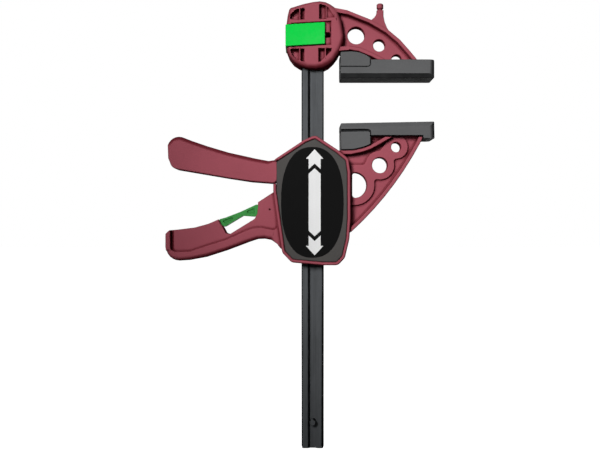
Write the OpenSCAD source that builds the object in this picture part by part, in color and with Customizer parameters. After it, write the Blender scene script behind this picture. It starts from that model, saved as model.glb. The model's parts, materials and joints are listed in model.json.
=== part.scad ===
// Quick release bar clamp.
// Frame: +Z runs up the bar to the fixed jaw, +X runs from the bar to the jaw tips, -Y is the front.
// The origin is the centre of the fixed jaw's clamping face.
// Inside the modules X is measured from the bar's axis. Pieces of the sliding carriage measure Z
// from the moving jaw's clamping face, and the carriage stands jaw_gap below the fixed jaw.

/* [Bar] */
// Width of the bar, seen from the front
bar_w = 18; // [16:0.5:20]
// Thickness of the bar
bar_t = 6; // [5:0.5:7]
// Length of the bar below the fixed jaw's clamping face
bar_below = 297; // [250:1:400]
// Length of the bar above the fixed jaw's clamping face
bar_above = 52; // [50:0.5:53]
// Width of the long groove in each face
groove_w = 8; // [6:0.5:10]
// Width of the groove's floor, between its sloped sides
groove_floor = 4; // [2:0.5:5.5]
// Depth of the long groove in each face
groove_deep = 1; // [0.4:0.1:1.2]
// Radius of the stop pin at the lower end
stop_pin_r = 2.6; // [2:0.1:3]
// Length of the stop pin
stop_pin_len = 15; // [10:0.5:20]
// Height of the stop pin above the bar's lower end
stop_pin_up = 21.5; // [10:0.5:40]

/* [Jaws and pads] */
// Opening between the jaws as drawn
jaw_gap = 36; // [20:1:120]
// Distance from the bar's axis to the near end of the pads
pad_start = 22; // [21:0.5:24]
// Length of a pad
pad_len = 75; // [70:0.5:80]
// Width of a pad, front to back
pad_w = 28; // [26:0.5:32]
// Height of the chamfer along the clamping face of a pad
pad_chamfer = 3.5; // [1:0.5:4]
// Width of that chamfer, across the face
pad_chamfer_w = 2; // [1:0.5:3.5]
// Length of a pad's heel, beside the neck of its jaw
heel_len = 24; // [22:0.5:25]
// Width and depth of the seam round a heel
seam = 0.6; // [0.4:0.1:1]
// Depth of the fixed jaw's pad
fixed_pad_h = 14.4; // [13:0.1:15]
// Depth of the moving jaw's pad
moving_pad_h = 10.4; // [10:0.1:11]
// Thickness of the pad's face over the jaw's flange
pad_face_t = 5; // [4:0.25:6]
// Width of the flange that carries a pad
flange_w = 20; // [16:0.5:22]
// Thickness of the flange that carries a pad
flange_t = 3; // [2.5:0.25:3.5]
// Inward tilt of the moving jaw's face, in degrees
toe_in = 1.1; // [0:0.1:1.5]

/* [Fixed jaw] */
// Thickness of the head block
head_w = 26; // [24:0.5:32]
// Thickness of the arm's rim
arm_rim_w = 23; // [20:0.5:25]
// Width of the arm's rim, seen from the front
arm_rim = 3; // [2:0.25:4]
// Thickness of the arm's web
arm_web_t = 9; // [6:0.5:11]
// Radius of the large hole in the arm, by which the clamp hangs
hang_hole_r = 6.9; // [5:0.1:7.5]
// Radius of the middle hole in the arm
arm_hole_r = 4.8; // [3:0.1:5.5]
// Radius of the small hole in the arm
arm_tip_hole_r = 4.1; // [3:0.1:4.5]
// Rounding of the head block's edges
head_round = 4; // [1:0.5:5]
// Depth of the pockets in the head's faces
head_pocket = 6.5; // [3:0.5:7]
// Width of the post on the arm
post_w = 5.4; // [4:0.2:6]

/* [Head lock] */
// Height of the lock button
lock_h = 17.4; // [14:0.2:18]
// Thickness of the lock button's plates
lock_t = 3; // [2.5:0.25:3.5]
// Lean of the lock button, in degrees
lock_lean = 3.6; // [0:0.4:4]
// Travel of the lock button
lock_travel = 4.5; // [4:0.1:4.6]
// Radius of the lock pin
lock_pin_r = 1.75; // [1.2:0.05:2]

/* [Carriage] */
// Thickness of the carriage over its rims
carriage_w = 29; // [28:0.5:32]
// Width of the carriage's rim, seen from the front
rim = 2.5; // [2:0.1:3]
// Thickness of a cover
cover_t = 2.5; // [2:0.1:3]
// Depth of a cover's face below the rim
cover_sink = 0.5; // [0.2:0.1:1]
// Width of a label
label_w = 49.6; // [40:0.2:52]
// Height of a label
label_h = 87.8; // [70:0.2:90]
// Thickness of a label
label_t = 0.4; // [0.2:0.05:0.6]
// Thickness of the moving jaw's web
jaw_web_t = 8; // [6:0.5:10]
// Thickness of the raised step around the moving jaw's holes
jaw_step_t = 12; // [10:0.5:14]
// Thickness of the moving jaw's rim
jaw_rim_w = 23; // [20:0.5:25]
// Width of the moving jaw's rim, seen from the front
jaw_rim = 3; // [2:0.25:4]
// Radius of the D-shaped hole beside the carriage
d_hole_r = 10.2; // [8:0.1:10.4]
// Radius of the middle hole in the moving jaw
jaw_hole_r = 6.3; // [4:0.1:6.6]
// Radius of the small hole in the moving jaw
jaw_tip_hole_r = 4; // [3:0.1:4.4]

/* [Grip and release trigger] */
// Distance from the bar's axis to the end of the grip
hand_reach = 117.5; // [112:0.5:130]
// Thickness of the grip over its flanges
grip_w = 24; // [22:0.5:26]
// Thickness of the grip's walls beside the trigger
grip_wall_w = 18; // [17:0.5:20]
// Thickness of the grip's web behind the trigger
grip_web_t = 5; // [4:0.5:10]
// Width of the trigger
trigger_w = 12; // [10:0.5:13]
// Radius of the trigger's pivot pin
release_pin_r = 1.5; // [1.2:0.1:1.8]

/* [Lever and drive] */
// Thickness of the lever
lever_w = 21; // [18:0.5:21.5]
// Radius of the lever's pivot pin
lever_pin_r = 2.5; // [2:0.1:2.6]
// Thickness of one drive plate
drive_plate_t = 2; // [1.5:0.1:2.2]
// Thickness of the brake plate
brake_plate_t = 3; // [2:0.1:3.2]
// Width of the steel plates, front to back
plate_w = 18; // [14:0.5:20]
// Tilt of the brake plate where it grips, in degrees
brake_tilt = 4.2; // [2:0.1:4.5]
// Wire radius of the two springs round the bar
spring_wire_r = 0.6; // [0.4:0.05:0.7]
// Turns of the drive spring
drive_turns = 5; // [3:1:7]
// Turns of the brake spring
brake_turns = 6; // [3:1:8]

/* [Fits] */
// Clearance round the sliding bar
bar_gap = 0.3; // [0.2:0.05:0.4]
// Clearance between moving pieces
run_gap = 0.3; // [0.2:0.05:0.4]
// Radial clearance of a pivot
pivot_gap = 0.05; // [0.02:0.01:0.1]
// Clearance of a seated piece
seat_gap = 0.05; // [0.02:0.01:0.1]

/* [Hidden] */
$fn = 64;

maroon = "#964B57";
green = "#12C845";
deep_green = "#2A8F40";
pad_grey = "#5B5B5B";
cover_grey = "#505350";
label_black = "#161618";
bar_steel = "#4A4D50";
bright_steel = "#A8ABAD";

big = 60;                                    // reaches past any piece it cuts
bar_hw = bar_w / 2;
slot_hw = bar_hw + bar_gap;
slot_ht = bar_t / 2 + bar_gap;
pad_end = pad_start + pad_len;
pad_mid = pad_start + pad_len / 2;
pad_tip_len = 9.5;                           // stretch of a pad beyond the end of its jaw
pad_tip_r = 5;
moving_tip_h = moving_pad_h + 3.2;           // depth of the moving pad at its tip
heel_end = pad_start + heel_len;

// Fixed jaw
head_left = -(bar_hw + 12);
head_hw = head_w / 2;
lock_z = 34.5;
lock_out = 0.8;                              // how far the lock button stands proud of the head
lock_right = bar_hw + 0.6;
lock_pin_x = bar_hw - 1;
lock_face = head_hw + 1;
lock_left = head_left - lock_out;
web_recess = lock_travel + lock_t - lock_out + run_gap;
hang_hole = [35, 35.5];
arm_hole = [53.5, 27.5];
arm_tip_hole = [67.5, 16];
arm_bottom = fixed_pad_h + run_gap;
post_x = 54.5;
post_top = 62;
post_cap_h = 4;
post_neck_h = 1.6;

// Carriage
half_w = carriage_w / 2;
cover_out = half_w - cover_sink;
cover_in = cover_out - cover_t;
lever_pivot = [-(bar_hw + 3.5), -34];
window_top = -28.6;                          // top of the wall's window for the lever
rim_window_top = window_top - 1.3;           // top of the same window in the front and rear rims
jaw_top = -moving_pad_h - run_gap;
jaw_edge = [-146.6, 107.5];                  // centre and radius of the moving jaw's long outer edge
jaw_edge_r = 262.8;
release_pivot = [-34.5, -68.5];
plate_left = -21.2;
plate_right = 15.2;
plate_pivot_x = 14;
drive_top = -42.3;
drive_stack = 2 * drive_plate_t + 0.2;
brake_top = -71.5;
ledge_x = 11.5;
spring_mean_r = norm([bar_hw, bar_t / 2]) + 0.3 + spring_wire_r;
spring_seat_z = -61;
partition_t = 3;
brake_floor = -94;
drive_hole_hw = bar_hw + 0.5;
drive_hole_ht = bar_t / 2 + 0.45;

function arc(c, r, a0, a1, n = 8) =
    [for (i = [0 : n]) let (a = a0 + (a1 - a0) * i / n) c + r * [cos(a), sin(a)]];

// An outline in the X-Z plane, given a thickness along Y
module slab(y0, y1) {
    translate([0, y1, 0]) rotate([90, 0, 0]) linear_extrude(y1 - y0) children();
}

// The same, centred on the bar's mid-plane
module plate(w) {
    slab(-w / 2, w / 2) children();
}

// The same outline cut from both faces, between two depths
module both_faces(y0, y1) {
    slab(y0, y1) children();
    slab(-y1, -y0) children();
}

// A round pin or bore along Y
module round_y(p, r, y0, y1) {
    translate([p.x, y1, p.y]) rotate([90, 0, 0]) cylinder(r = r, h = y1 - y0);
}

// Rounds the outer corners of an outline
module round_out(r) {
    offset(r = r, $fn = 32) offset(delta = -r) children();
}

// Rounds the inner corners of an outline
module round_in(r) {
    offset(r = -r, $fn = 32) offset(delta = r) children();
}

module soften(r_out, r_in) {
    round_in(r_in) round_out(r_out) children();
}

// Moves a piece from the bar's axis to the part's origin
module on_bar() {
    translate([-pad_mid, 0, 0]) children();
}

// Moves a piece of the carriage to its place on the bar
module on_carriage() {
    translate([-pad_mid, 0, -jaw_gap]) children();
}

// Turns a piece of the moving jaw inwards by its toe-in
module toed() {
    translate([pad_start, 0, 0]) rotate([0, -toe_in, 0]) translate([-pad_start, 0, 0]) children();
}

// The space that the bar slides in, from z0 up to z1
module bar_slot(z0, z1) {
    translate([-slot_hw, -slot_ht, z0]) cube([2 * slot_hw, 2 * slot_ht, z1 - z0]);
}

// A coil spring that stands on z = 0
module coil(mean_r, wire_r, height, turns) {
    steps = 20;
    sides = 8;
    rise = height - 2 * wire_r;
    rings = turns * steps;
    points = [for (i = [0 : rings], k = [0 : sides - 1])
        let (a = 360 * i / steps, b = 360 * k / sides, r = mean_r + wire_r * cos(b))
        [r * cos(a), r * sin(a), wire_r + rise * i / rings + wire_r * sin(b)]];
    skin = [for (i = [0 : rings - 1], k = [0 : sides - 1])
        let (n = (k + 1) % sides, p = i * sides, q = p + sides)
        [p + k, p + n, q + n, q + k]];
    ends = [[for (k = [sides - 1 : -1 : 0]) k], [for (k = [0 : sides - 1]) rings * sides + k]];
    polyhedron(points, concat(skin, ends), convexity = 10);
}

// ---- Bar ----

module bar() {
    color(bar_steel) difference() {
        slab(-bar_t / 2, bar_t / 2) union() {
            translate([-bar_hw, -bar_below + 2]) square([bar_w, bar_below + bar_above - 2]);
            translate([0, -bar_below + 4]) round_out(1.6) square([bar_w, 8], center = true);
        }
        for (side = [0, 180])
            rotate([0, 0, side]) translate([0, -bar_t / 2, -bar_below - 1])
                linear_extrude(bar_below + bar_above + 2) polygon([[-groove_w / 2, -1], [-groove_w / 2, 0],
                    [-groove_floor / 2, groove_deep], [groove_floor / 2, groove_deep],
                    [groove_w / 2, 0], [groove_w / 2, -1]]);
        round_y([0, stop_pin_up - bar_below], stop_pin_r + seat_gap, -bar_t, bar_t);
        round_y([lock_pin_x, lock_z], lock_pin_r + run_gap, -bar_t, bar_t);
        translate([lock_pin_x, -bar_t, lock_z - lock_pin_r - run_gap])
            cube([bar_hw, 2 * bar_t, 2 * (lock_pin_r + run_gap)]);
    }
}

module end_stop_pin() {
    color(bright_steel) translate([0, 0, stop_pin_up - bar_below]) rotate([90, 0, 0])
        rotate_extrude() polygon([[0, -stop_pin_len / 2], [stop_pin_r - 0.5, -stop_pin_len / 2],
            [stop_pin_r, 0.5 - stop_pin_len / 2], [stop_pin_r, stop_pin_len / 2 - 0.5],
            [stop_pin_r - 0.5, stop_pin_len / 2], [0, stop_pin_len / 2]]);
}

// ---- Fixed jaw ----

module head_outline() {
    polygon([[head_left, 43.5], [-20, 50.8], [-18.9, 55], [-17.6, 56.5], [-13.4, 57.6], [-7, 59.7],
        [0, 61.2], [5.6, 61.8], [10.2, 61.1], [13.9, 59.3], [17.2, 57], [19.4, 54.2], [23, 46], [24.8, 34],
        [24.7, 29], [22.2, 22.8], [20.2, 18.6], [17, 14.4], [13, 10.6], [8.4, 8.3], [2, 7.6], [-5, 8.4],
        [-10, 10], [-15, 13.2], [-18.6, 17.8], [head_left, 24]]);
}

// The head block, its front and rear edges rounded
module head_block() {
    hull() for (turn = [0 : 30 : 90])
        plate(head_w - 2 * head_round * (1 - sin(turn)))
            offset(delta = -head_round * (1 - cos(turn))) head_outline();
}

// The arm's long edges, which run on below the top of its pad
module arm_edges() {
    soften(1, 2) polygon([[12, 57], [18.4, 55.8], [28, 54], [33.5, 51.8], [46, 46.8], [59.8, 38.8],
        [69.6, 30.6], [77.4, 21.8], [90, 6.5], [67, 6.5], [46, 17.6], [37, 21.3], [29.5, 22.6], [21.5, 22],
        [12, 22]]);
}

// The arm's side view, down to the top of its pad
module arm_outline() {
    intersection() {
        arm_edges();
        translate([0, arm_bottom]) square(100);
    }
}

// The neck and flange that the pad slides on, with the pad's face at z = 0
module flange(near, far, top) {
    plate(arm_web_t) translate([near, pad_face_t + 0.5]) square([far - near, top - pad_face_t - 0.5]);
    translate([near, -flange_w / 2, pad_face_t + seat_gap]) cube([far - near, flange_w, flange_t]);
}

module head_pockets() {
    both_faces(head_hw - head_pocket, head_hw + 1) {
        polygon([[-18.2, 46.5], [-18.2, 50.5], [-13.4, 54.8], [-10.9, 55.2], [-10.9, 46.5]]);
        polygon([[-9.7, 46.5], [-9.7, 55.4], [-6.6, 55.7], [-6.6, 46.5]]);
        polygon([[5.2, 47], [5.2, 58.8], [10.2, 57.8], [10.2, 47]]);
        polygon([[-18.2, 23], [-10.9, 23], [-10.9, 13.8], [-13.8, 15], [-17, 18.6]]);
        polygon([[-9.7, 23], [-6.9, 23], [-6.9, 12.8], [-9.7, 13.3]]);
        polygon([[4.6, 23.4], [9.4, 23.4], [9.4, 16.4], [5.8, 12.9], [4.6, 12.9]]);
        polygon([[10.6, 23.4], [14.8, 23.4], [14.4, 21.2], [10.6, 17.6]]);
    }
    both_faces(head_hw - 1.5, head_hw + 1) polygon([[11.2, 48], [17.4, 48.2], [11.2, 57.2]]);
}

module fixed_jaw() {
    lock_slot = lock_pin_r + run_gap;
    lock_room = run_gap + lock_travel * tan(lock_lean);
    color(maroon) difference() {
        union() {
            head_block();
            plate(arm_rim_w) difference() {
                arm_outline();
                offset(delta = -arm_rim) arm_edges();
            }
            plate(arm_web_t) difference() {
                arm_outline();
                translate([12, 0]) square([9, 22.5]);
            }
            flange(pad_start + 2, pad_end - 6, fixed_pad_h + 1);
            plate(arm_web_t) polygon([[pad_start + 2, 8], [pad_start + 2, 24], [37, 22.6], [46, 18.6],
                [54, 15.4], [54, 8]]);
            // post with its flared foot and capped end
            plate(post_w) translate([post_x, 0]) polygon([[-8, 48], [-5.1, 50.3], [-3.5, 52.4],
                [-post_w / 2, 55], [-post_w / 2, post_top - post_cap_h - post_neck_h],
                [post_w / 2, post_top - post_cap_h - post_neck_h], [post_w / 2, 51.5], [3.7, 46.7],
                [5.4, 42.7], [7.6, 38.8], [-4, 40]]);
            translate([post_x, 0, post_top - post_cap_h - post_neck_h - 1])
                cylinder(r = post_w / 2 - 0.7, h = post_neck_h + 2);
            translate([post_x, 0, post_top - post_cap_h]) cylinder(r = post_w / 2, h = post_cap_h - 0.8);
            translate([post_x, 0, post_top - 0.8]) cylinder(r1 = post_w / 2, r2 = post_w / 2 - 0.8, h = 0.8);
        }
        bar_slot(-1, bar_above + bar_gap);
        head_pockets();
        // channels for the lock button, on both faces and across the left side
        lock_shell(head_left - 1, lock_right + lock_travel + run_gap, head_left + web_recess,
            lock_face - lock_t - run_gap, lock_room);
        // slot in which the lock pin crosses the head
        hull() for (x = [lock_pin_x, lock_pin_x + lock_travel])
            round_y([x, lock_z], lock_slot, -head_hw, head_hw);
        translate([-bar_hw - 2.8, 0, lock_z]) rotate([0, -90, 0]) cylinder(r = 3.2, h = 20);
        round_y(hang_hole, hang_hole_r, -big, big);
        round_y(arm_hole, arm_hole_r, -big, big);
        round_y(arm_tip_hole, arm_tip_hole_r, -big, big);
    }
}

// What lies above z and left of x, with a rounded corner
module heel_side(x, z) {
    round_out(2.5) translate([x - big, z]) square(big);
}

// A pad with its clamping face at z = 0 and its body above. Its child is the side view of the heel beside
// the jaw's neck. A seam that is seam_h high runs along the heel at seam_z and up its end.
module pad_body(depth, tip_depth, seam_z, seam_h) {
    half = pad_w / 2;
    difference() {
        union() {
            intersection() {
                plate(pad_w) round_out(1.2) polygon([[pad_start, 0], [pad_end, 0], [pad_end, tip_depth],
                    [pad_end - pad_tip_len, tip_depth], [pad_end - pad_tip_len, depth], [pad_start, depth]]);
                // the face is chamfered along both long edges
                translate([pad_start - 1, 0, 0]) rotate([90, 0, 90]) linear_extrude(pad_len + 2)
                    polygon([[pad_chamfer_w - half, 0], [half - pad_chamfer_w, 0], [half, pad_chamfer],
                        [half, big], [-half, big], [-half, pad_chamfer]]);
                // the tip has rounded corners
                translate([0, 0, -1]) linear_extrude(big) round_out(pad_tip_r)
                    translate([0, -half]) square([pad_end, pad_w]);
            }
            plate(pad_w) round_out(0.8) children();
        }
        both_faces(half - seam, half + 1) difference() {
            heel_side(heel_end, seam_z);
            heel_side(heel_end - seam, seam_z + seam_h);
        }
        // the flange's pocket and the neck's slot
        translate([pad_start - 1, -flange_w / 2 - seat_gap, pad_face_t])
            cube([pad_len - 4.5, flange_w + 2 * seat_gap, flange_t + 2 * seat_gap]);
        translate([pad_start - 1, -arm_web_t / 2 - seat_gap, pad_face_t])
            cube([pad_len - 4.5, arm_web_t + 2 * seat_gap, big]);
    }
}

module fixed_jaw_pad() {
    color(pad_grey) pad_body(fixed_pad_h, fixed_pad_h, 8.5, seam)
        polygon([[pad_start, 9], [pad_start, 20.4], [31, 20.9], [37.4, 20], [42.1, 18], [heel_end, 15.5],
            [heel_end, 9]]);
}

// ---- Head lock ----

// The lock button's side view between two places, with room around it
module lock_band(x0, x1, room) {
    polygon([for (side = [1, -1], x = side > 0 ? [x0, x1] : [x1, x0])
        [x, lock_z + (x - (lock_left + lock_right) / 2) * tan(lock_lean) + side * (lock_h / 2 + room)]]);
}

// The band folded round the head: what lies right of core_x, within core_y of the mid-plane, is left out
module lock_shell(x0, x1, core_x, core_y, room) {
    difference() {
        plate(2 * lock_face) lock_band(x0, x1, room);
        translate([core_x, -core_y, 0]) cube([big, 2 * core_y, big]);
    }
}

module head_lock_button() {
    color(green) difference() {
        lock_shell(lock_left, lock_right, lock_left + lock_t, lock_face - lock_t, 0);
        round_y([lock_pin_x, lock_z], lock_pin_r, -lock_face + 1, lock_face - 1);
    }
}

module head_lock_pin() {
    color(bright_steel) round_y([lock_pin_x, lock_z], lock_pin_r - 0.01, 1.1 - lock_face, lock_face - 1.1);
}

module head_lock_spring() {
    x0 = lock_left + lock_t;
    color(bright_steel) translate([-bar_hw - 2.8 - 0.1, 0, lock_z]) rotate([0, -90, 0])
        coil(2.2, 0.3, -bar_hw - 2.8 - x0 - 0.2, 4);
}

// ---- Carriage ----

module carriage_outline() {
    soften(5, 2) polygon([[2, -9.6], [20, -21.5], [28.5, -28.5], [30, -40], [30, -76], [29, -92],
        [25.5, -107], [20, -113], [8, -113], [-17, -110.8], [-24.4, -103], [-28, -79], [-31.5, -54],
        [-31.5, -29.6], [-26, -26], [-7, -13.4]]);
}

// The moving jaw's long edges, which run on above the underside of its pad
module jaw_edges() {
    soften(1, 2) polygon(concat([[20, -92], [20, -21.6], [31, -21.4], [39, -19.8], [45.5, -17.5],
        [53.5, -13.1], [67, -5]], arc(jaw_edge, jaw_edge_r, -25.2, -47.5)));
}

// The moving jaw's side view, up to the underside of its pad and along to its tip
module jaw_outline() {
    intersection() {
        jaw_edges();
        translate([0, jaw_top - 100]) square([pad_end - pad_tip_len - 0.4, 100]);
    }
}

// The raised step around the jaw's holes, as three joined discs
module step_outline() {
    round_in(2) intersection() {
        jaw_outline();
        offset(delta = -jaw_rim) jaw_edges();
        union() {
            translate([33.5, -49]) circle(r = 16.4);
            translate([54, -33]) circle(r = 11.8);
            translate([67, -18.5]) circle(r = 9.6);
            polygon([[28, -49], [28, -32.4], [41.2, -32.4], [46, -24], [54, -21], [60, -14], [67, -18.5],
                [54, -33]]);
        }
    }
}

// The grip's side view
module grip_outline() {
    soften(2, 3) polygon(concat(
        [[-26, -52], [-31, -54.5], [-43.5, -62.5], [-58, -70], [-75.5, -76.5], [-83.5, -80],
         [23 - hand_reach, -83], [10 - hand_reach, -84.6], [3 - hand_reach, -85.2], [-hand_reach, -88]],
        arc([11 - hand_reach, -98.5], 11, 180, 270, 6),
        [[19.5 - hand_reach, -109], [-84.5, -106.5], [-69, -101.5], [-50.5, -94.5], [-43.5, -92.2],
         [-38, -92], [-33, -93], [-28.5, -96], [-25.6, -100], [-20, -100], [-20, -52]]));
}

// What stands back from the grip's bottom flange and end
module grip_face() {
    end = 4 - hand_reach;
    soften(1.5, 1.5) polygon([[end, -80], [end, -100.5], [end + 4, -102.4], [end + 15.5, -102], [-82, -96.7],
        [-68.5, -92.5], [-53.5, -85.5], [-47.5, -83.5], [-41.5, -83], [-31, -85], [-28.2, -83], [-30.5, -50],
        [-40, -50], [-60, -62], [-80, -70]]);
}

// The finger slot through the grip, over which the trigger lies
module finger_slot() {
    soften(1.5, 1) polygon([[-77, -73], [-75.2, -76.5], [-72, -83], [-69.5, -87.6], [-66.5, -88.4],
        [-46.5, -76], [-44.4, -72], [-43.8, -66], [-44, -60], [-60, -60]]);
}

// The channel between the grip's walls, for the trigger and its inner arm
module trigger_channel() {
    polygon([[-77.6, -70], [-77.6, -86], [-72, -90], [-66.5, -90], [-46.5, -77.4], [-39, -75.4], [-28, -77.6],
        [-23, -77.6], [-23, -63.4], [-43, -63.4], [-43, -58], [-60, -60]]);
}

// The hollow that the lever, the plates and the springs work in
module mechanism_space() {
    // round the lever's root
    polygon([[-33, window_top], [-25, window_top], [-19.5, -27.6], [-5.8, -27.6], [-5.8, drive_top + run_gap],
        [-22.5, drive_top + run_gap], [-22.5, -54.6], [-33, -54.6]]);
    // round the drive plates
    translate([-23.8, -49.6]) square([plate_right + 0.6 + 23.8, drive_top + run_gap + 49.6]);
    // round the drive spring
    translate([-13, spring_seat_z]) square([26, -49 - spring_seat_z]);
    // round the brake plate and its spring, under a ledge that holds the plate's right end
    difference() {
        translate([-24.2, brake_floor])
            square([plate_right + 0.6 + 24.2, spring_seat_z - partition_t - brake_floor]);
        translate([ledge_x, brake_top + run_gap]) square([20, 20]);
    }
}

module carriage_body() {
    color(maroon) difference() {
        union() {
            plate(carriage_w) carriage_outline();
            // moving jaw
            plate(jaw_rim_w) difference() {
                jaw_outline();
                offset(delta = -jaw_rim) jaw_edges();
            }
            plate(jaw_web_t) jaw_outline();
            plate(jaw_step_t) step_outline();
            toed() mirror([0, 0, 1]) flange(pad_start + 2, pad_end - 6, moving_pad_h + 2);
            plate(jaw_web_t) polygon([[24, -9], [24, -22], [46, -17.5], [58, -12], [58, -9]]);
            // grip
            plate(grip_w) difference() {
                grip_outline();
                grip_face();
            }
            plate(grip_wall_w) intersection() {
                grip_outline();
                translate([-79.6, -120]) square([60, 100]);
            }
            plate(grip_web_t) grip_outline();
        }
        // seats of the covers, inside the rim
        both_faces(cover_in, half_w + 1) offset(delta = -rim) carriage_outline();
        slab(-cover_in - 0.01, cover_in + 0.01) mechanism_space();
        // window in the rim for the lever
        plate(carriage_w + 2)
            polygon([[-34, rim_window_top], [-25.5, rim_window_top], [-25.5, -48.2], [-34, -48.2]]);
        bar_slot(-big * 3, 0);
        // holes of the jaw, the first with a straight side beside the carriage
        plate(big) round_out(2.4) intersection() {
            translate([33.5, -49]) circle(r = d_hole_r);
            translate([31.8, -80]) square(big);
        }
        round_y([54, -33], jaw_hole_r, -big, big);
        round_y([67, -18.5], jaw_tip_hole_r, -big, big);
        // finger slot, trigger channel and trigger pivot
        plate(grip_w + 2) finger_slot();
        plate(trigger_w + 2 * run_gap) trigger_channel();
        round_y(release_pivot, release_pin_r + seat_gap, -grip_w, grip_w);
    }
}

module cover_outline() {
    offset(delta = -rim - seat_gap) carriage_outline();
}

module cover() {
    boss_r = lever_pin_r + 2.2;
    boss_in = lever_w / 2 - 0.5 + run_gap;
    difference() {
        union() {
            slab(-cover_out, -cover_in - seat_gap) cover_outline();
            round_y(lever_pivot, boss_r, -cover_out + 1, -boss_in);
        }
        round_y(lever_pivot, lever_pin_r + seat_gap, -cover_out + 1, 0);
    }
}

module front_cover() {
    color(cover_grey) cover();
}

module rear_cover() {
    color(cover_grey) mirror([0, 1, 0]) cover();
}

// A full oval, rounder than an ellipse
module label_outline() {
    n = 72;
    k = 2 / 2.35;
    translate([-0.5, -63]) polygon([for (i = [0 : n - 1]) let (c = cos(360 * i / n), s = sin(360 * i / n))
        [label_w / 2 * sign(c) * pow(abs(c), k), label_h / 2 * sign(s) * pow(abs(s), k)]]);
}

module front_label() {
    color(label_black) slab(-cover_out - label_t, -cover_out) label_outline();
}

module rear_label() {
    color(label_black) slab(cover_out, cover_out + label_t) label_outline();
}

module moving_jaw_pad() {
    color(pad_grey) toed() mirror([0, 0, 1]) pad_body(moving_pad_h, moving_tip_h, 5.2, 1.8)
        polygon([[pad_start, 7], [pad_start, 21.1], [31, 21.2], [38.6, 19.7], [42.6, 18.4],
            [heel_end, 16.9], [heel_end, 7]]);
}

module lever_pivot_pin() {
    color(bright_steel) round_y(lever_pivot, lever_pin_r, -cover_out + 1.1, cover_out - 1.1);
}

module release_pivot_pin() {
    color(bright_steel) round_y(release_pivot, release_pin_r, 1.4 - grip_wall_w / 2, grip_wall_w / 2 - 1.4);
}

// ---- Lever ----

module lever_outline() {
    soften(3, 2) polygon(concat(
        arc([10.3 - hand_reach, -19.4], 9.2, 75, 165, 6),
        [[1.9 - hand_reach, -27.5]],
        arc([9.7 - hand_reach, -30], 6.4, 190, 262, 4),
        [[-86.5, -40.1], [-67.8, -43.3], [-49.3, -46.1], [-29.8, -47.6], [-26.4, -40.4], [-12.5, -39.6],
         [-7, -34], [-9, -29.5], [-12.5, -28.2], [-20, -28.9], [-29, -29], [-35.5, -29.7], [-45.5, -27.8],
         [-54.8, -25.7], [-67.1, -23], [-84.3, -17.9], [21 - hand_reach, -13.7]]));
}

module drive_lever() {
    root_w = lever_w - 1;
    root_x = -30;
    lobe_r = 2.5;
    lobe_x = lever_pivot.x - 7.5;
    color(maroon) difference() {
        union() {
            plate(lever_w - 6) lever_outline();
            plate(lever_w - 2) intersection() {
                offset(delta = -1) lever_outline();
                translate([root_x - hand_reach, -60]) square([hand_reach, 60]);
            }
            plate(lever_w) intersection() {
                offset(delta = -2.8) lever_outline();
                translate([root_x - hand_reach, -60]) square([hand_reach, 60]);
            }
            plate(root_w) intersection() {
                lever_outline();
                translate([root_x, -60]) square([40, 60]);
            }
            // the lobe that pushes the drive plates down
            round_y([lobe_x, drive_top + run_gap + lobe_r], lobe_r, -plate_w / 2, plate_w / 2);
        }
        round_y(lever_pivot, lever_pin_r + pivot_gap, -lever_w, lever_w);
        // the root straddles the bar
        translate([lever_pivot.x, -slot_ht - 0.5, -60]) cube([20, 2 * slot_ht + 1, 60]);
    }
}

// A steel plate with the bar's hole, its top at z = 0
module jam_plate(t) {
    translate([0, 0, -t]) difference() {
        translate([plate_left, -plate_w / 2, 0]) cube([plate_right - plate_left, plate_w, t]);
        translate([-drive_hole_hw, -drive_hole_ht, -1]) cube([2 * drive_hole_hw, 2 * drive_hole_ht, t + 2]);
    }
}

module drive_plate_a() {
    color(bright_steel) translate([0, 0, drive_top]) jam_plate(drive_plate_t);
}

module drive_plate_b() {
    color(bright_steel) translate([0, 0, drive_top - drive_plate_t - 0.2]) jam_plate(drive_plate_t);
}

module drive_spring() {
    top = drive_top - drive_stack - 0.2;
    color(bright_steel) translate([0, 0, spring_seat_z + 0.1])
        coil(spring_mean_r, spring_wire_r, top - spring_seat_z - 0.1, drive_turns);
}

module brake_plate() {
    color(bright_steel) translate([plate_pivot_x, 0, brake_top]) rotate([0, -brake_tilt, 0])
        translate([-plate_pivot_x, 0, 0]) jam_plate(brake_plate_t);
}

module brake_spring() {
    reach = plate_pivot_x + spring_mean_r + spring_wire_r;
    top = brake_top - brake_plate_t - reach * tan(brake_tilt) - 0.2;
    color(bright_steel) translate([0, 0, brake_floor + 0.1])
        coil(spring_mean_r, spring_wire_r, top - brake_floor - 0.1, brake_turns);
}

module trigger_outline() {
    soften(1, 1.5) union() {
        polygon([[-75.3, -76.4], [-70, -75], [-58, -70.4], [-45.5, -64.6], [-36, -64.6], [-30, -66],
            [-22, -68.6], [-18.4, -70.6], [-18.4, -73.8], [-22.4, -73.8], [-30, -72.2], [-38, -72.6],
            [-47.5, -74.3], [-56, -73.6], [-70.6, -82.5], [-74, -80.4]]);
        translate(release_pivot) circle(r = 4);
    }
}

// The web of the trigger stands back between its ribs
module trigger_recess() {
    soften(0.8, 0.4)
        polygon([[-72.8, -77.8], [-57, -72], [-47, -67.4], [-46.6, -71.6], [-56, -71.4], [-70.4, -80]]);
}

module release_trigger() {
    color(deep_green) difference() {
        plate(trigger_w) trigger_outline();
        both_faces(trigger_w / 2 - 3, trigger_w) trigger_recess();
        round_y(release_pivot, release_pin_r + pivot_gap, -trigger_w, trigger_w);
    }
}

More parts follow.
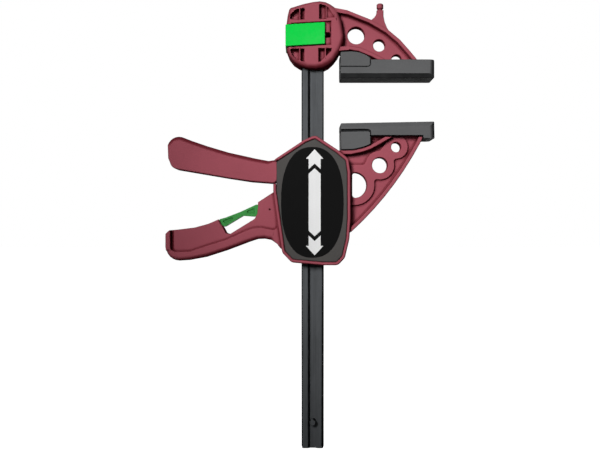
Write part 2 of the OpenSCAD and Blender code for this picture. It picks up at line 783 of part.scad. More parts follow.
on_bar() bar();
on_bar() end_stop_pin();
on_bar() fixed_jaw();
on_bar() fixed_jaw_pad();
on_bar() head_lock_button();
on_bar() head_lock_pin();
on_bar() head_lock_spring();
on_carriage() carriage_body();
on_carriage() front_cover();
on_carriage() rear_cover();
on_carriage() front_label();
on_carriage() rear_label();
on_carriage() moving_jaw_pad();
on_carriage() lever_pivot_pin();
on_carriage() drive_lever();
on_carriage() drive_plate_a();
on_carriage() drive_plate_b();
on_carriage() drive_spring();
on_carriage() brake_plate();
on_carriage() brake_spring();
on_carriage() release_trigger();
on_carriage() release_pivot_pin();
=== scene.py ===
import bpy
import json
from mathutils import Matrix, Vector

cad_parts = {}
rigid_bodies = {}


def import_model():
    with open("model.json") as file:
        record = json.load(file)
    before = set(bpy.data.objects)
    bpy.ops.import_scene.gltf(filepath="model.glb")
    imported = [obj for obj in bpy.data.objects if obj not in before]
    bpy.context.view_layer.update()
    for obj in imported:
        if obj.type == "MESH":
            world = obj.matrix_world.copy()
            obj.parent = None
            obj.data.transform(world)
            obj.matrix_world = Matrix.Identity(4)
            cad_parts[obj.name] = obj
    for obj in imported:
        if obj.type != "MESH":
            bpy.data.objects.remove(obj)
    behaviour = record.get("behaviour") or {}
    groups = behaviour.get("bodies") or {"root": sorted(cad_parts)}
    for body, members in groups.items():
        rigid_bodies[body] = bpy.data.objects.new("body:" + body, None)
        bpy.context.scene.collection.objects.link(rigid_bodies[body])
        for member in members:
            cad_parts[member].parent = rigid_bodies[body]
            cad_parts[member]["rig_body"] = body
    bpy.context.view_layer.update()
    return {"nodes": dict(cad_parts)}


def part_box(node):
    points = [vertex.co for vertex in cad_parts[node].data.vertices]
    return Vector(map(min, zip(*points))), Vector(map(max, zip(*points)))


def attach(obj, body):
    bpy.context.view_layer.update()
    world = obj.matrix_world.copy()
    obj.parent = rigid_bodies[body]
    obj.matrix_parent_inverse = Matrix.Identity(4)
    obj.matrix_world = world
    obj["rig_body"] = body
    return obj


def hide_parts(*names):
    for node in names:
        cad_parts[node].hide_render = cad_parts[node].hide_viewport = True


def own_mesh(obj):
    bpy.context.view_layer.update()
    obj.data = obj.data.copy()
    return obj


bl_info = {
    "name": "Quick Release Bar Clamp",
    "version": (1, 0, 0),
    "blender": (4, 5, 0),
    "location": "View3D > Sidebar > Bar Clamp",
    "description": "Dresses a quick release bar clamp: rounded mouldings, steel, label and studio",
    "category": "Object",
}

import json
import math

import bmesh
import bpy
from mathutils import Vector

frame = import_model()
NODES = frame["nodes"]
MM = 0.001
FRONT = -1                       # the side's sign along Y
REAR = 1

# What counts as the same, as low and as long
SAME_POINT = 0.02 * MM
SAME_DEPTH = 0.05 * MM
ON_FACE = 0.1 * MM               # a point this near a face lies on it
WELD = 0.3 * MM                  # a rounded piece has no edge much shorter than this
LOW_WALL = 1.4 * MM              # a wall lower than this keeps its sharp edges
FULL_WALL = 18 * MM              # a wall this deep runs from the grip's front to its back
LONG_EDGE = 2.5 * MM

# Depths, from the mid-plane to the front or to the rear
GRIP_FACE = 11.5 * MM            # the grip's flanges reach further out than this
GRIP_WEB = 2.5 * MM
GRIP_FIELD = 9 * MM              # where the grip's web stands instead
GRIP_GROOVE = 6.8 * MM           # the floor of the groove at the field's outer end
TRIGGER_WEB = 3 * MM
TRIGGER_FIELD = 5.1 * MM         # where the trigger's web stands instead
LEVER_CUT = 5 * MM               # a cut here shows the lever's whole outline

# Places and sizes
GRIP_ROOT = -90 * MM             # the grip lies left of this
GRIP_END = 6.4 * MM              # from the grip's outer end to its field
FIELD_SLOPE = 0.3 * MM           # the wall between the field and its groove leans by this
GROOVE_SHARE = 0.75              # the floor of the bar's groove moves to this share of its depth
PANEL_STEP = 0.6 * MM            # from a pad's face back to its inner panel
SEAM = 1.6 * MM                  # the moving jaw's pad has its inner panel this much further back
ARROW_OFFSET = 1.85 * MM         # from the label's middle to the arrow's
INK_DEPTH = 0.1 * MM             # the arrow reaches this far into the label
INK_HEIGHT = 0.04 * MM           # and stands out of it by this
FLOOR_DROP = 0.2 * MM            # from the bar's lower end to the floor
FLOOR_GLOW = 0.955               # the light of its own that makes the seen floor white

# Radii of the smaller pieces' edges
BUTTON_EDGE = 0.6 * MM
TRIGGER_EDGE = 0.3 * MM
PAD_EDGE = 0.4 * MM
FILM_EDGE = 0.12 * MM
PIN_EDGE = 0.2 * MM
PLATE_EDGE = 0.25 * MM

# The middle of the view
VIEW_X = -69.75 * MM
VIEW_Z = -117 * MM


# ---- Settings that a user would change ----

class ClampPlastics(bpy.types.PropertyGroup):
    """Colours and rounding of the mouldings"""
    maroon: bpy.props.FloatVectorProperty(
        name="Body", description="Colour of the jaws, carriage, grip and lever",
        default=(0.325, 0.078, 0.102), subtype="COLOR", min=0, max=1)
    button: bpy.props.FloatVectorProperty(
        name="Button", description="Colour of the head lock button",
        default=(0.000, 0.58, 0.056), subtype="COLOR", min=0, max=1)
    trigger: bpy.props.FloatVectorProperty(
        name="Trigger", description="Colour of the release trigger",
        default=(0.050, 0.27, 0.062), subtype="COLOR", min=0, max=1)
    cover: bpy.props.FloatVectorProperty(
        name="Covers", description="Colour of the two covers",
        default=(0.070, 0.066, 0.063), subtype="COLOR", min=0, max=1)
    pad: bpy.props.FloatVectorProperty(
        name="Pads", description="Colour of the jaw pads",
        default=(0.100, 0.101, 0.103), subtype="COLOR", min=0, max=1)
    edge: bpy.props.FloatProperty(
        name="Edge radius", description="Radius of the mouldings' edges",
        default=0.7 * MM, min=0.2 * MM, max=1 * MM, unit="LENGTH", precision=5)
    bead: bpy.props.FloatProperty(
        name="Bead radius", description="Radius of the edges of the carriage's rim and of its covers",
        default=1.15 * MM, min=0.2 * MM, max=1.2 * MM, unit="LENGTH", precision=5)
    hand_edge: bpy.props.FloatProperty(
        name="Hand edge radius", description="Radius of the long edges that the hand closes on",
        default=3.8 * MM, min=1 * MM, max=5 * MM, unit="LENGTH", precision=5)


class ClampSteel(bpy.types.PropertyGroup):
    """Colours of the bar and of the small steel pieces"""
    bar: bpy.props.FloatVectorProperty(
        name="Bar", description="Colour of the blackened bar",
        default=(0.086, 0.091, 0.096), subtype="COLOR", min=0, max=1)
    bright: bpy.props.FloatVectorProperty(
        name="Bright steel", description="Colour of pins, plates and springs",
        default=(0.42, 0.42, 0.43), subtype="COLOR", min=0, max=1)
    bar_edge: bpy.props.FloatProperty(
        name="Bar edge radius", description="Radius of the bar's rolled edges",
        default=2.6 * MM, min=0.2 * MM, max=2.8 * MM, unit="LENGTH", precision=5)


class ClampLabel(bpy.types.PropertyGroup):
    """The double arrow on the two labels"""
    film: bpy.props.FloatVectorProperty(
        name="Film", description="Colour of the label",
        default=(0.005, 0.005, 0.005), subtype="COLOR", min=0, max=1)
    ink: bpy.props.FloatVectorProperty(
        name="Ink", description="Colour of the arrow",
        default=(0.74, 0.74, 0.74), subtype="COLOR", min=0, max=1)
    shaft: bpy.props.FloatProperty(
        name="Shaft width", description="Width of the arrow's shaft",
        default=9.5 * MM, min=4 * MM, max=14 * MM, unit="LENGTH", precision=5)
    head: bpy.props.FloatProperty(
        name="Head width", description="Width of an arrow head",
        default=13.8 * MM, min=6 * MM, max=20 * MM, unit="LENGTH", precision=5)
    length: bpy.props.FloatProperty(
        name="Length", description="Length of the arrow from tip to tip",
        default=84.2 * MM, min=40 * MM, max=86 * MM, unit="LENGTH", precision=5)


class ClampStage(bpy.types.PropertyGroup):
    """Camera, lamps and floor"""
    distance: bpy.props.FloatProperty(
        name="Camera distance", description="From the camera to the bar's mid-plane",
        default=0.68, min=0.4, max=2, unit="LENGTH")
    lens: bpy.props.FloatProperty(
        name="Focal length", description="Focal length of the camera",
        default=50.37, min=20, max=120, unit="CAMERA")
    key: bpy.props.FloatProperty(
        name="Key light", description="Power of the soft key light",
        default=0.60, min=0, max=50, unit="POWER")
    fill: bpy.props.FloatProperty(
        name="Rear fill", description="Power of the soft lamp behind the clamp",
        default=0.8, min=0, max=50, unit="POWER")
    ambient: bpy.props.FloatProperty(
        name="Ambient", description="Strength of the light from all sides",
        default=0.11, min=0, max=1)


SETTINGS = {
    "clamp_plastics": ClampPlastics,
    "clamp_steel": ClampSteel,
    "clamp_label": ClampLabel,
    "clamp_stage": ClampStage,
}


# ---- Shader node groups ----

def new_group(name, inputs, outputs):
    """A shader group with the given sockets, its node tree and its two end nodes."""
    group = bpy.data.node_groups.new(name, "ShaderNodeTree")
    for label, kind, default in inputs:
        socket = group.interface.new_socket(label, in_out="INPUT", socket_type=kind)
        socket.default_value = default
    for label, kind in outputs:
        group.interface.new_socket(label, in_out="OUTPUT", socket_type=kind)
    start = group.nodes.new("NodeGroupInput")
    end = group.nodes.new("NodeGroupOutput")
    return group, start, end


def feed(tree, socket, value):
    """Links another node's output to a socket, or sets the socket to a number, vector or colour."""
    if hasattr(value, "default_value"):
        tree.links.new(value, socket)
    else:
        socket.default_value = value


def math_node(tree, operation, first, second, clamp=False):
    node = tree.nodes.new("ShaderNodeMath")
    node.operation = operation
    node.use_clamp = clamp
    feed(tree, node.inputs[0], first)
    feed(tree, node.inputs[1], second)
    return node.outputs[0]


def blend_sum(tree, first, share, second, other):
    """The sum of two values, each times its own share."""
    scaled = math_node(tree, "MULTIPLY", first, share)
    return math_node(tree, "ADD", scaled, math_node(tree, "MULTIPLY", second, other))


def noise(tree, vector, scale, detail=2.0, roughness=0.5):
    node = tree.nodes.new("ShaderNodeTexNoise")
    for label, value in (("Vector", vector), ("Scale", scale), ("Detail", detail), ("Roughness", roughness)):
        feed(tree, node.inputs[label], value)
    return node.outputs["Fac"]


def remap(tree, value, low, high, new_low=0.0, new_high=1.0):
    node = tree.nodes.new("ShaderNodeMapRange")
    bounds = {"Value": value, "From Min": low, "From Max": high, "To Min": new_low, "To Max": new_high}
    for label, bound in bounds.items():
        feed(tree, node.inputs[label], bound)
    return node.outputs["Result"]


def mix_colour(tree, factor, first, second):
    node = tree.nodes.new("ShaderNodeMix")
    node.data_type = "RGBA"
    for place, value in ((0, factor), (6, first), (7, second)):     # the sockets that a colour mix uses
        feed(tree, node.inputs[place], value)
    return node.outputs[2]


def object_coordinates(tree):
    return tree.nodes.new("ShaderNodeTexCoord").outputs["Object"]


def stretched(tree, vector, scale):
    node = tree.nodes.new("ShaderNodeMapping")
    node.inputs["Scale"].default_value = scale
    tree.links.new(vector, node.inputs["Vector"])
    return node.outputs["Vector"]


def moulded_grain():
    """Fine spark-eroded grain of a moulding: a height, and a roughness that drifts over the surface."""
    group, start, end = new_group(
        "Moulded grain",
        [("Vector", "NodeSocketVector", (0, 0, 0)), ("Grain scale", "NodeSocketFloat", 2200.0),
         ("Smooth", "NodeSocketFloat", 0.42), ("Rough", "NodeSocketFloat", 0.58)],
        [("Height", "NodeSocketFloat"), ("Roughness", "NodeSocketFloat")])
    vector = start.outputs["Vector"]
    fine = noise(group, vector, start.outputs["Grain scale"], 2.0, 0.6)
    flow = noise(group, vector, 55.0, 3.0, 0.55)
    blotch = noise(group, vector, 420.0, 2.0, 0.5)
    height = math_node(group, "ADD", fine, math_node(group, "MULTIPLY", blotch, 0.5))
    drift = blend_sum(group, flow, 0.7, blotch, 0.3)
    rough = remap(group, drift, 0.3, 0.7, start.outputs["Smooth"], start.outputs["Rough"])
    group.links.new(height, end.inputs["Height"])
    group.links.new(rough, end.inputs["Roughness"])
    return group


def edge_wear():
    """A mask that is 1 where a convex edge is rubbed, broken up by noise."""
    group, start, end = new_group(
        "Edge wear",
        [("Vector", "NodeSocketVector", (0, 0, 0)), ("From", "NodeSocketFloat", 0.53),
         ("To", "NodeSocketFloat", 0.62), ("Amount", "NodeSocketFloat", 0.5)],
        [("Mask", "NodeSocketFloat")])
    point = group.nodes.new("ShaderNodeNewGeometry").outputs["Pointiness"]
    rubbed = remap(group, point, start.outputs["From"], start.outputs["To"])
    scuffs = remap(group, noise(group, start.outputs["Vector"], 260.0, 4.0, 0.65), 0.35, 0.7, 0.25, 1.0)
    mask = math_node(group, "MULTIPLY", rubbed, scuffs)
    mask = math_node(group, "MULTIPLY", mask, start.outputs["Amount"], clamp=True)
    group.links.new(mask, end.inputs["Mask"])
    return group


def crevices():
    """A mask that is 1 where a surface meets a wall or lies in a groove, where the materials paint shade."""
    group, start, end = new_group(
        "Crevices",
        [("Reach", "NodeSocketFloat", 0.003), ("Amount", "NodeSocketFloat", 0.7)],
        [("Mask", "NodeSocketFloat")])
    open_sky = group.nodes.new("ShaderNodeAmbientOcclusion")
    open_sky.only_local = True
    open_sky.samples = 8
    group.links.new(start.outputs["Reach"], open_sky.inputs["Distance"])
    closed = remap(group, open_sky.outputs["AO"], 0.62, 0.97, 1.0, 0.0)
    mask = math_node(group, "MULTIPLY", closed, start.outputs["Amount"], clamp=True)
    group.links.new(mask, end.inputs["Mask"])
    return group


def object_normal(group):
    return group.nodes.new("ShaderNodeTexCoord").outputs["Normal"]


def facing():
    """A patchy mask of what faces a way, for painted shade: 0 where normal and way agree by From, 1 where
    they do by To.
    """
    group, start, end = new_group(
        "Facing",
        [("Vector", "NodeSocketVector", (0, 0, 0)), ("Way", "NodeSocketVector", (0, 0, 1)),
         ("From", "NodeSocketFloat", 0.1), ("To", "NodeSocketFloat", 0.4)],
        [("Mask", "NodeSocketFloat")])
    dot = group.nodes.new("ShaderNodeVectorMath")
    dot.operation = "DOT_PRODUCT"
    group.links.new(object_normal(group), dot.inputs[0])
    group.links.new(start.outputs["Way"], dot.inputs[1])
    agreed = remap(group, dot.outputs["Value"], start.outputs["From"], start.outputs["To"])
    patches = remap(group, noise(group, start.outputs["Vector"], 90.0, 4.0, 0.6), 0.3, 0.7, 0.85, 1.0)
    group.links.new(math_node(group, "MULTIPLY", agreed, patches), end.inputs["Mask"])
    return group


def side_walls():
    """A mask that is 1 on the surfaces that run front to back and 0 on the front and rear faces, where the
    materials paint shade.
    """
    group, start, end = new_group(
        "Side walls", [("Amount", "NodeSocketFloat", 0.5)], [("Mask", "NodeSocketFloat")])
    normal = group.nodes.new("ShaderNodeSeparateXYZ")
    group.links.new(object_normal(group), normal.inputs["Vector"])
    depth = math_node(group, "ABSOLUTE", normal.outputs["Y"], 0.0)
    mask = math_node(group, "MULTIPLY", remap(group, depth, 0.45, 0.97, 1.0, 0.0), start.outputs["Amount"])
    group.links.new(mask, end.inputs["Mask"])
    return group


def colour_drift():
    """Slow and fine changes of a moulding's colour."""
    group, start, end = new_group(
        "Colour drift",
        [("Vector", "NodeSocketVector", (0, 0, 0)), ("Colour", "NodeSocketColor", (0.5, 0.5, 0.5, 1)),
         ("Amount", "NodeSocketFloat", 0.12)],
        [("Colour", "NodeSocketColor")])
    slow = noise(group, start.outputs["Vector"], 28.0, 3.0, 0.5)
    fine = noise(group, start.outputs["Vector"], 900.0, 2.0, 0.5)
    swing = remap(group, blend_sum(group, slow, 0.7, fine, 0.3), 0.3, 0.7, -1.0, 1.0)
    value = math_node(group, "ADD", math_node(group, "MULTIPLY", swing, start.outputs["Amount"]), 1.0)
    shade = group.nodes.new("ShaderNodeHueSaturation")
    group.links.new(value, shade.inputs["Value"])
    group.links.new(start.outputs["Colour"], shade.inputs["Color"])
    group.links.new(shade.outputs["Color"], end.inputs["Colour"])
    return group


def drawn_lines():
    """Long fine lines along Z, as drawing or rolling leaves on steel: a height and a tone."""
    group, start, end = new_group(
        "Drawn lines", [("Vector", "NodeSocketVector", (0, 0, 0))],
        [("Height", "NodeSocketFloat"), ("Tone", "NodeSocketFloat")])
    lines = noise(group, stretched(group, start.outputs["Vector"], (1500, 1500, 12)), 1.0, 3.0, 0.6)
    scale = noise(group, stretched(group, start.outputs["Vector"], (120, 120, 30)), 1.0, 4.0, 0.6)
    tone = remap(group, blend_sum(group, lines, 0.5, scale, 0.5), 0.35, 0.65)
    group.links.new(lines, end.inputs["Height"])
    group.links.new(tone, end.inputs["Tone"])
    return group


GROUP_MAKERS = {
    "Moulded grain": moulded_grain,
    "Edge wear": edge_wear,
    "Crevices": crevices,
    "Facing": facing,
    "Side walls": side_walls,
    "Colour drift": colour_drift,
    "Drawn lines": drawn_lines,
}


def use_group(tree, name, **values):
    """Places a shader group, building it the first time."""
    node = tree.nodes.new("ShaderNodeGroup")
    node.node_tree = bpy.data.node_groups.get(name) or GROUP_MAKERS[name]()
    for label, value in values.items():
        feed(tree, node.inputs[label.replace("_", " ")], value)
    return node


# ---- Materials ----

# Painted shades, which darken what faces a way: the way, how well the normal agrees with it where the shade
# starts and where it is full, and the shade's share of the deep tone
BODY_BELOW = ((0.6, 0, -0.8), 0.1, 0.5, 1.0)
LEVER_TOP = ((0, 0, 1), 0.06, 0.4, 1.2)
BUTTON_BELOW = ((0, 0, -1), 0.25, 0.6, 0.4)
PAD_BELOW = ((0, 0, -1), 0.06, 0.2, 0.8)
PAD_END = ((1, 0, 0), 0.15, 0.6, 1.3)
BAR_RIGHT = ((1, 0, 0), 0.05, 0.25, 0.2)
BAR_LEFT = ((-1, 0, 0), 0.62, 0.78, 0.35)


def new_material(name, specular, metallic=0.0):
    material = bpy.data.materials.new(name)
    material.use_nodes = True
    tree = material.node_tree
    shader = tree.nodes["Principled BSDF"]
    shader.inputs["Specular IOR Level"].default_value = specular
    shader.inputs["Metallic"].default_value = metallic
    return material, tree, shader


def bump(tree, shader, height, strength, distance):
    node = tree.nodes.new("ShaderNodeBump")
    node.inputs["Strength"].default_value = strength
    node.inputs["Distance"].default_value = distance
    tree.links.new(height, node.inputs["Height"])
    tree.links.new(node.outputs["Normal"], shader.inputs["Normal"])


def rgba(colour, share=1.0):
    return (*(channel * share for channel in colour), 1.0)


def deep(colour, share=1.0):
    """A darker and stronger tone of a colour, as light gets when it bounces about in a corner."""
    return rgba([0.6 * channel ** 1.5 for channel in colour], share)


def with_painted_shade(tree, where, finish, colour, painted_shades):
    """A finish with painted shade laid over it on what faces each shade's way."""
    for way, start, end, share in painted_shades:
        mask = use_group(tree, "Facing", Vector=where, Way=way, From=start, To=end)
        finish = mix_colour(tree, mask.outputs["Mask"], finish, deep(colour, share))
    return finish


def moulded_plastic(name, colour, specular, wear, smooth=0.52, rough=0.68, drift=0.08, grain=2200.0,
                    crevice_shade=1.0, painted_shades=()):
    """A moulding with grain, slow colour drift and lighter rubbed edges, with painted shade in its crevices,
    on its side walls and on what faces the given ways.
    """
    material, tree, shader = new_material(name, specular)
    where = object_coordinates(tree)
    surface = use_group(tree, "Moulded grain", Vector=where, Grain_scale=grain, Smooth=smooth, Rough=rough)
    base = use_group(tree, "Colour drift", Vector=where, Colour=rgba(colour), Amount=drift)
    rubbed = use_group(tree, "Edge wear", Vector=where, Amount=wear)
    # Painted shade: the colour goes to its deep tone where ambient occlusion finds a corner or groove
    crevice_shading = use_group(tree, "Crevices", Reach=2.5 * MM, Amount=crevice_shade)
    pale = rgba([0.75 * channel + 0.10 for channel in colour])
    clean = mix_colour(tree, rubbed.outputs["Mask"], base.outputs["Colour"], pale)
    finish = mix_colour(tree, crevice_shading.outputs["Mask"], clean, deep(colour))
    # Painted shade on the walls and roundings that turn away from the front and rear faces
    beside = use_group(tree, "Side walls", Amount=0.6)
    finish = mix_colour(tree, beside.outputs["Mask"], finish, deep(colour, 1.3))
    # Painted shade on what faces each of the given ways
    tree.links.new(with_painted_shade(tree, where, finish, colour, painted_shades), shader.inputs["Base Color"])
    tree.links.new(surface.outputs["Roughness"], shader.inputs["Roughness"])
    bump(tree, shader, surface.outputs["Height"], 0.12, 0.05 * MM)
    return material


def soft_pad(name, colour):
    """Soft pad plastic: dry and even, with painted shade on its underside and at its outer end."""
    return moulded_plastic(name, colour, 0.02, wear=0.25, smooth=0.62, rough=0.78, drift=0.10, grain=1500.0,
                           painted_shades=[PAD_BELOW, PAD_END])


def drawn_steel(name, colour, specular, smooth=0.42, rough=0.52):
    """Blackened, drawn bar steel, with painted shade on what faces right and on its left edge."""
    material, tree, shader = new_material(name, specular)
    where = object_coordinates(tree)
    lines = use_group(tree, "Drawn lines", Vector=where)
    rubbed = use_group(tree, "Edge wear", Vector=where, Amount=0.3)
    base = mix_colour(tree, lines.outputs["Tone"], rgba(colour, 0.82), rgba(colour, 1.2))
    bare = rgba([channel * 1.3 + 0.01 for channel in colour])
    finish = mix_colour(tree, rubbed.outputs["Mask"], base, bare)
    # Painted shade on what faces right, the groove's left wall among it, and on the left edge's rounding
    finish = with_painted_shade(tree, where, finish, colour, [BAR_RIGHT, BAR_LEFT])
    tree.links.new(finish, shader.inputs["Base Color"])
    tree.links.new(remap(tree, lines.outputs["Tone"], 0.0, 1.0, smooth, rough), shader.inputs["Roughness"])
    bump(tree, shader, lines.outputs["Height"], 0.10, 0.03 * MM)
    return material


def machined_steel(name, colour, smooth=0.22, rough=0.36):
    """Turned, ground or wire steel with a thin film of oil."""
    material, tree, shader = new_material(name, 0.5, metallic=1.0)
    where = object_coordinates(tree)
    marks = noise(tree, where, 1400.0, 4.0, 0.6)
    stains = noise(tree, where, 160.0, 3.0, 0.6)
    tone = remap(tree, stains, 0.3, 0.75)
    tree.links.new(mix_colour(tree, tone, rgba(colour), rgba(colour, 0.72)), shader.inputs["Base Color"])
    tree.links.new(remap(tree, stains, 0.3, 0.7, smooth, rough), shader.inputs["Roughness"])
    bump(tree, shader, marks, 0.08, 0.02 * MM)
    return material


def printed_film(name, colour, smooth=0.48, rough=0.6):
    """Printed label film, with faint wear in its gloss."""
    material, tree, shader = new_material(name, 0.02)
    where = object_coordinates(tree)
    base = use_group(tree, "Colour drift", Vector=where, Colour=rgba(colour), Amount=0.05)
    scuffs = noise(tree, where, 210.0, 5.0, 0.7)
    tree.links.new(base.outputs["Colour"], shader.inputs["Base Color"])
    tree.links.new(remap(tree, scuffs, 0.3, 0.7, smooth, rough), shader.inputs["Roughness"])
    bump(tree, shader, noise(tree, where, 700.0, 2.0, 0.5), 0.04, 0.02 * MM)
    return material


def the_material(name):
    """A material by its name, made the first time it is asked for."""
    if name in bpy.data.materials:
        return bpy.data.materials[name]
    scene = bpy.context.scene
    plastics, steel, label = scene.clamp_plastics, scene.clamp_steel, scene.clamp_label
    makers = {
        # The body's mouldings and the lever share one colour and differ in their painted shade: below and to
        # the right on the body, on top on the lever
        "maroon moulding": lambda: moulded_plastic(
            name, plastics.maroon, 0.0, wear=0.12, painted_shades=[BODY_BELOW]),
        "maroon lever": lambda: moulded_plastic(
            name, plastics.maroon, 0.0, wear=0.12, painted_shades=[LEVER_TOP]),
        "green button": lambda: moulded_plastic(
            name, plastics.button, 0.03, wear=0.3, smooth=0.45, rough=0.6, painted_shades=[BUTTON_BELOW]),
        # The trigger takes half the painted crevice shade
        "green trigger": lambda: moulded_plastic(
            name, plastics.trigger, 0.04, wear=0.5, smooth=0.45, rough=0.6, crevice_shade=0.5),
        "cover moulding": lambda: moulded_plastic(name, plastics.cover, 0.04, wear=0.2),
        "soft pad": lambda: soft_pad(name, plastics.pad),
        "bar steel": lambda: drawn_steel(name, steel.bar, 0.0),
        "black steel": lambda: drawn_steel(name, [0.15 * channel for channel in steel.bar], 0.02),
        "bright steel": lambda: machined_steel(name, steel.bright),
        "plate steel": lambda: machined_steel(name, steel.bright, 0.28, 0.42),
        "label film": lambda: printed_film(name, label.film),
        "label ink": lambda: printed_film(name, label.ink),
    }
    return makers[name]()


# ---- Mesh helpers ----

def cad_shape(node, weld=WELD):
    """A bmesh of a node's solid, its triangles joined into whole faces and its shortest edges closed up."""
    bm = bmesh.new()
    bm.from_mesh(NODES[node].data)
    bmesh.ops.remove_doubles(bm, verts=bm.verts, dist=SAME_POINT)
    join_flat_faces(bm)
    bmesh.ops.remove_doubles(bm, verts=bm.verts, dist=weld)
    return bm


def join_flat_faces(bm):
    bmesh.ops.dissolve_limit(bm, angle_limit=math.radians(1), use_dissolve_boundaries=False,
                             verts=bm.verts, edges=bm.edges, delimit=set())


def sharp_edges(bm, least=32.0, where=None):
    """Edges whose faces meet at more than an angle, and that pass a test."""
    limit = math.radians(least)
    return [edge for edge in bm.edges if len(edge.link_faces) == 2 and edge.calc_face_angle() > limit
            and (where is None or where(edge))]


def rim(edge, least_wall=LOW_WALL):
    """Whether an edge is where a flat front or rear face meets a wall that is high enough to round."""
    walls = [face for face in edge.link_faces if abs(face.normal.y) < 0.5]
    if len(walls) != 1 or abs(edge.verts[0].co.y - edge.verts[1].co.y) > 0.01 * MM:
        return False
    depths = [vert.co.y for vert in walls[0].verts]
    return max(depths) - min(depths) > least_wall


def wall_beside(edge):
    """The face beside an edge that stands front to back."""
    return min(edge.link_faces, key=lambda face: abs(face.normal.y))


def long_edge(edge):
    return edge.calc_length() > LONG_EDGE


def at_depth(vert, depth):
    """Whether a point lies at a depth from the mid-plane, front or rear."""
    return abs(abs(vert.co.y) - depth) < SAME_DEPTH


def shift_depth(bm, old, new, where=None):
    """Moves what lies at one depth to another."""
    for vert in bm.verts:
        if at_depth(vert, old) and (where is None or where(vert.co)):
            vert.co.y = math.copysign(new, vert.co.y)
    bmesh.ops.remove_doubles(bm, verts=bm.verts, dist=SAME_POINT)
    join_flat_faces(bm)


def cut_floor(bm, depth, x):
    """Cuts the flat faces that lie at a depth along the plane x."""
    floor = [face for face in bm.faces if all(at_depth(vert, depth) for vert in face.verts)]
    near = dict.fromkeys(item for face in floor for item in (face, *face.edges, *face.verts))
    bmesh.ops.bisect_plane(bm, geom=list(near), plane_co=(x, 0, 0), plane_no=(1, 0, 0))


def round_edges(bm, radius, segments=3, least=32.0, where=None, whole=False):
    """Rounds the sharp edges. Faces become triangles first, so that none folds over, or stay whole."""
    if not whole:
        bmesh.ops.triangulate(bm, faces=bm.faces, quad_method="BEAUTY", ngon_method="BEAUTY")
    bmesh.ops.bevel(bm, geom=sharp_edges(bm, least, where), offset=radius, offset_type="OFFSET",
                    segments=segments, profile=0.5, affect="EDGES", clamp_overlap=False, material=-1)


def section(node, depth):
    """The outline of a node where the plane y = depth cuts it, as a flat filled bmesh."""
    bm = cad_shape(node)
    bmesh.ops.bisect_plane(bm, geom=bm.verts[:] + bm.edges[:] + bm.faces[:], plane_co=(0, depth, 0),
                           plane_no=(0, 1, 0), clear_outer=True, clear_inner=True)
    bmesh.ops.triangle_fill(bm, use_beauty=True, use_dissolve=False, edges=bm.edges, normal=(0, 1, 0))
    join_flat_faces(bm)
    return bm


def thicken(bm, start, end):
    """Moves a flat outline to y = start and extrudes it to y = end."""
    for vert in bm.verts:
        vert.co.y = start
    made = bmesh.ops.extrude_face_region(bm, geom=bm.faces[:])
    moved = [item for item in made["geom"] if isinstance(item, bmesh.types.BMVert)]
    bmesh.ops.translate(bm, verts=moved, vec=(0, end - start, 0))
    bmesh.ops.recalc_face_normals(bm, faces=bm.faces)


def soft_slab(flat, start, end, radius_at, steps=6, least_mitre=0.7):
    """A slab from a flat outline, its edges rounded by radius_at(point, outward) at each point."""
    flat.verts.index_update()
    flat.normal_update()
    walls = [loop for face in flat.faces for loop in face.loops if loop.edge.is_boundary]
    sides = [[] for _ in flat.verts]
    for loop in walls:
        outward = (loop.link_loop_next.vert.co - loop.vert.co).cross(loop.face.normal).normalized()
        for vert in loop.edge.verts:
            sides[vert.index].append(outward)
    corners = []
    for vert, near in zip(flat.verts, sides):
        outward = sum(near, Vector()).normalized()
        radius = radius_at(vert.co, outward)
        corners.append((vert.co, outward * radius / max(outward.dot(near[0]), least_mitre), radius))
    turns = [math.pi / 2 * step / steps for step in range(steps + 1)]
    bm = bmesh.new()
    rings = []
    for face_y, way, course in ((start, 1, turns), (end, -1, turns[::-1])):
        for turn in course:
            ring = []
            for point, inset, radius in corners:
                corner = point - inset * (1 - math.sin(turn))
                corner.y = face_y + way * radius * (1 - math.cos(turn))
                ring.append(bm.verts.new(corner))
            rings.append(ring)
    for face in flat.faces:
        cap = [vert.index for vert in face.verts]
        bm.faces.new([rings[0][index] for index in cap])
        bm.faces.new([rings[-1][index] for index in reversed(cap)])
    for loop in walls:
        first, second = loop.vert.index, loop.link_loop_next.vert.index
        for near, far in zip(rings, rings[1:]):
            bm.faces.new((near[first], far[first], far[second], near[second]))
    flat.free()
    bmesh.ops.recalc_face_normals(bm, faces=bm.faces)
    return bm


def ramp(value, low, high):
    """0 below low, 1 above high and straight between."""
    return min(max((value - low) / (high - low), 0.0), 1.0)


def make_piece(bm, name, body, material, replaces=(), smooth_angle=40.0):
    """Turns a bmesh into a piece of the clamp that rides on a body."""
    limit = math.radians(smooth_angle)
    for face in bm.faces:
        face.smooth = True
    for edge in bm.edges:
        edge.smooth = len(edge.link_faces) != 2 or edge.calc_face_angle() < limit
    mesh = bpy.data.meshes.new(name)
    bm.to_mesh(mesh)
    bm.free()
    mesh.materials.append(the_material(material))
    piece = bpy.data.objects.new(name, mesh)
    bpy.context.scene.collection.objects.link(piece)
    even = piece.modifiers.new("Even shading", "WEIGHTED_NORMAL")
    even.keep_sharp = True
    even.weight = 100
    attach(piece, body)
    if replaces:
        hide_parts(*replaces)
    return piece


